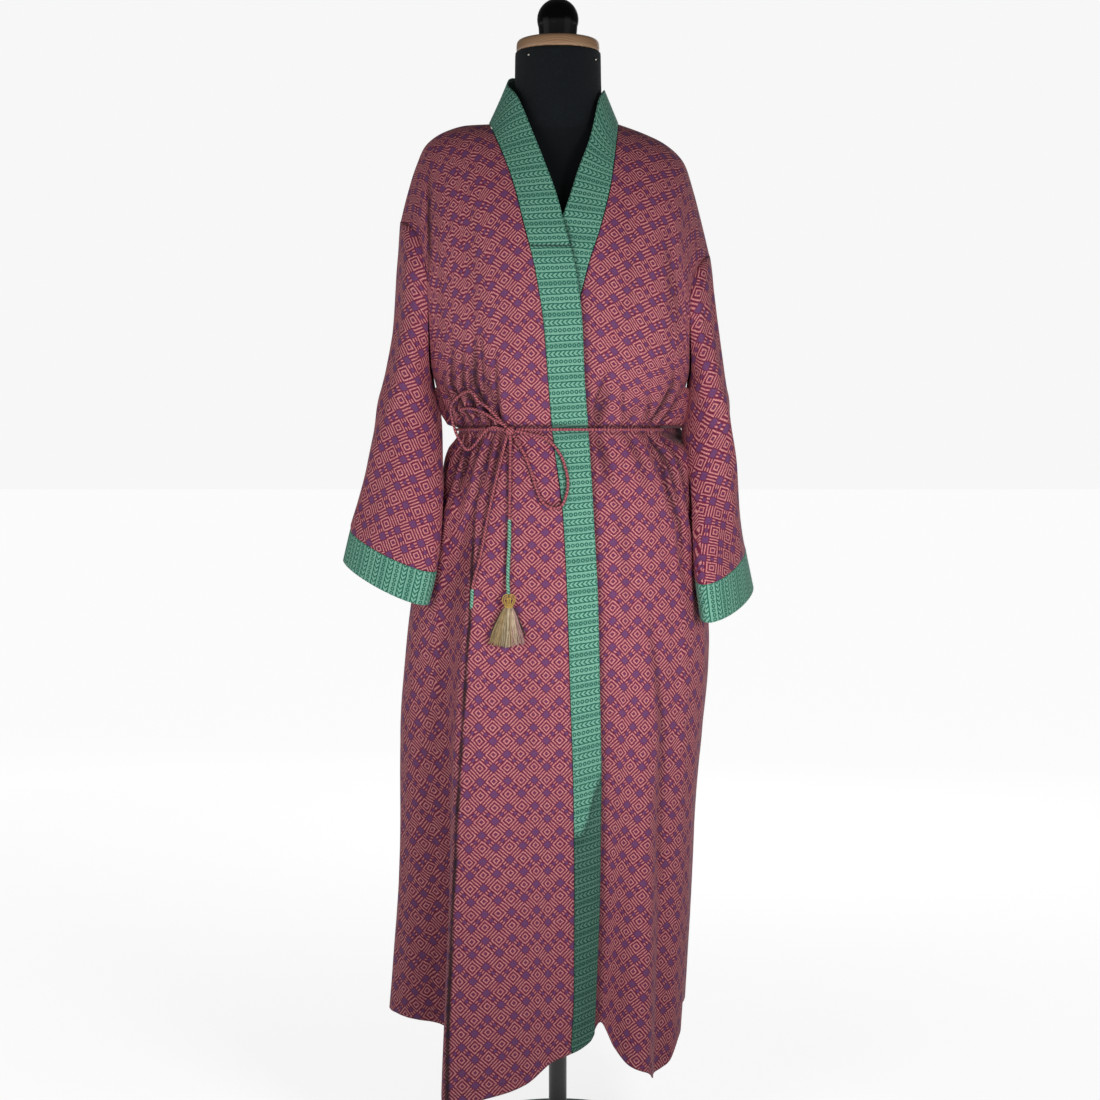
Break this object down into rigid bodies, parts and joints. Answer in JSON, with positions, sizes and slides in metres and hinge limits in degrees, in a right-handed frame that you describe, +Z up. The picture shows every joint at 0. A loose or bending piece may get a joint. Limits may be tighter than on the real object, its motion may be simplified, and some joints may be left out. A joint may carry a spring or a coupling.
{
  "type": "kimono robe on a limbless dress form",
  "caption": "Full-length kimono robe of printed cloth with a green band down the open front, straight cuffed sleeves and a tied cord belt with a tassel, on a limbless dress form.",
  "frame": {"origin": "the middle of the underside of the form's round base, on the floor", "axes": "+Z up along the form's pole, the robe opens towards -Y, the wearer's left side is towards +X"},
  "size_m": [0.5619, 0.3944, 1.5825],
  "materials": {
    "robe_print": "soft woven cloth with a small printed pattern in maroon, coral and purple",
    "band_print": "soft woven cloth printed in mint on deep green",
    "belt_cloth": "narrow cord rolled from the printed cloth",
    "tassel_thread": "satin thread, gold with beige and mauve",
    "form_cloth": "matt stretched cloth",
    "cap_wood": "pale satin wood",
    "finial_gloss": "gloss black",
    "stand_metal": "satin black paint",
    "pin_metal": "small bright pin head"
  },
  "bodies": {
    "root": {"form_torso": "form_cloth", "neck_cap": "cap_wood", "finial": "finial_gloss", "pin_right": "pin_metal", "pin_left": "pin_metal", "pole": "stand_metal", "base": "stand_metal", "front_right": "robe_print", "front_left": "robe_print", "back": "robe_print", "band_right": "band_print", "band_left": "band_print", "band_neck": "band_print", "sleeve_right": "robe_print", "cuff_right": "band_print", "sleeve_left": "robe_print", "cuff_left": "band_print", "belt_waist": "belt_cloth", "belt_loop_right": "belt_cloth", "belt_strand": "belt_cloth", "belt_loop_left": "belt_cloth", "belt_end_long": "belt_cloth", "belt_end_short": "belt_cloth", "belt_tip_long": "band_print", "belt_tip_short": "band_print", "belt_knot": "belt_cloth", "tassel": "tassel_thread"}
  },
  "joints": []
}
